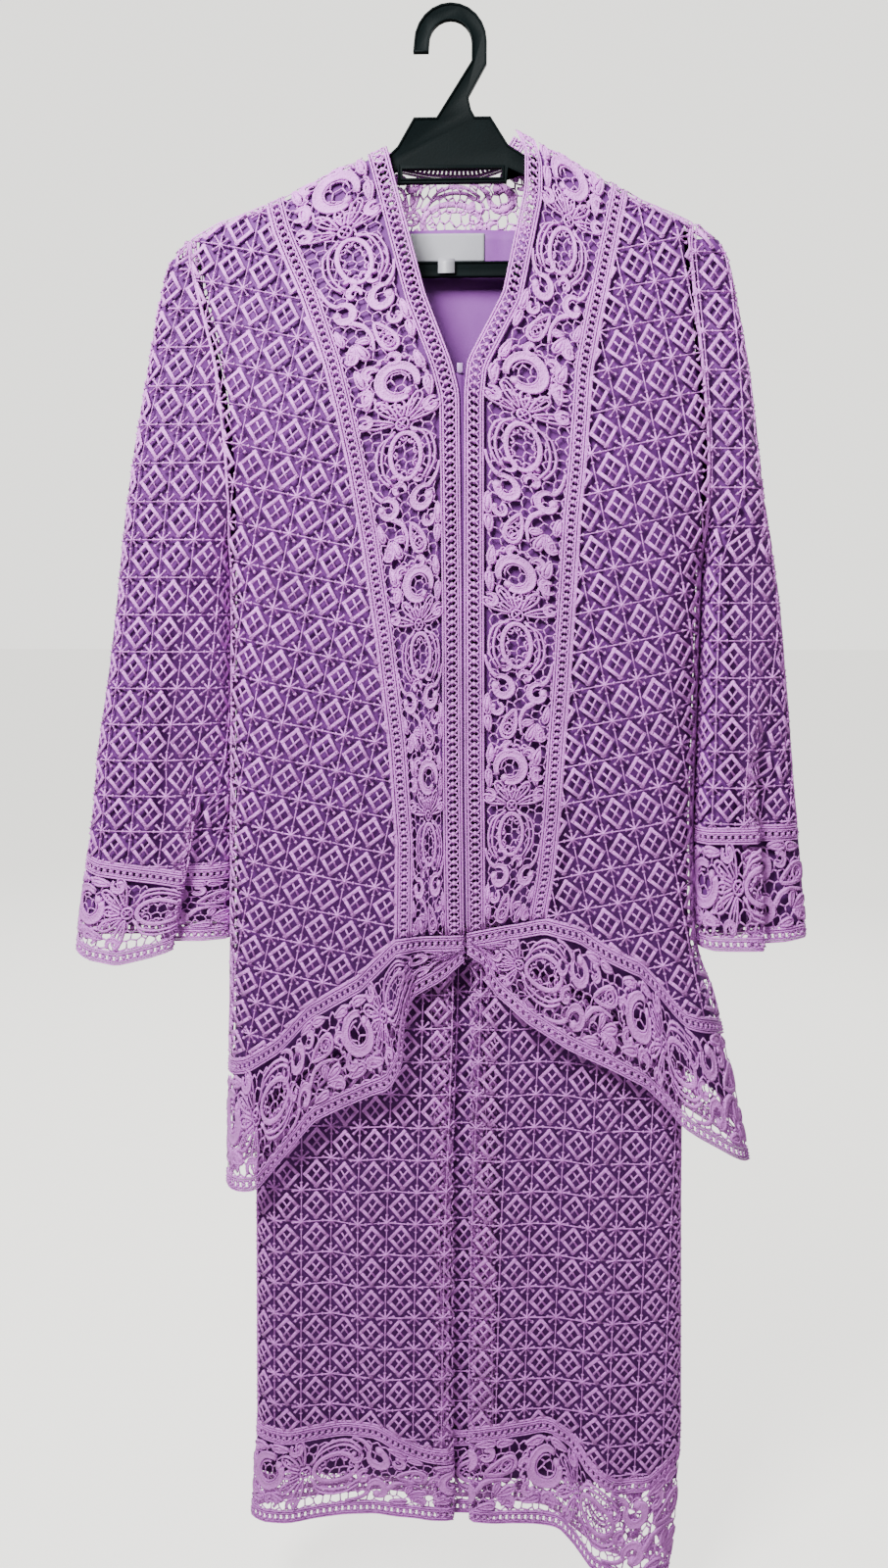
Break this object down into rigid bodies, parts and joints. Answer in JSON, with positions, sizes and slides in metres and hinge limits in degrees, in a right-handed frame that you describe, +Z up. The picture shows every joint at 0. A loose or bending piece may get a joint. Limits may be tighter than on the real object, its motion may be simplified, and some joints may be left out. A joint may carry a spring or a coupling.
{
  "type": "baju kurung set on a plastic hanger",
  "caption": "Lilac lace baju kurung set: bell-sleeved top with floral borders over a straight lace skirt with an inverted pleat, hung on a black plastic hanger",
  "frame": {"origin": "top of the inside of the hanger's hook, where a peg carries the set", "axes": "+Z up, the front of the garment toward -Y, the wearer's right sleeve toward -X"},
  "size_m": [0.6048, 0.0606, 1.2966],
  "materials": {
    "lace": "matte guipure lace",
    "lining": "soft satin",
    "hanger": "moulded plastic",
    "ribbon": "satin ribbon",
    "label": "bare satin label",
    "metal": "painted metal"
  },
  "bodies": {
    "root": {"hanger": "hanger", "front_left": "lace", "front_right": "lace", "back": "lace", "band_left": "lace", "band_right": "lace", "band_back": "lace", "hem_front_left": "lace", "hem_front_right": "lace", "hem_back": "lace", "lining_front_left": "lining", "lining_front_right": "lining", "lining_back": "lining", "sleeve_left_front": "lace", "sleeve_left_back": "lace", "sleeve_right_front": "lace", "sleeve_right_back": "lace", "cuff_left_front": "lace", "cuff_left_back": "lace", "cuff_right_front": "lace", "cuff_right_back": "lace", "sleeve_lining_left_front": "lining", "sleeve_lining_left_back": "lining", "sleeve_lining_right_front": "lining", "sleeve_lining_right_back": "lining", "waistband_front": "lace", "waistband_back": "lace", "hanging_loop_left": "ribbon", "hanging_loop_right": "ribbon", "skirt_front": "lace", "skirt_back": "lace", "skirt_hem_front": "lace", "skirt_hem_back": "lace", "skirt_lining_front": "lining", "skirt_lining_back": "lining", "neck_label": "label", "size_tab": "label", "zip": "lace", "zip_slider": "metal"}
  },
  "joints": []
}
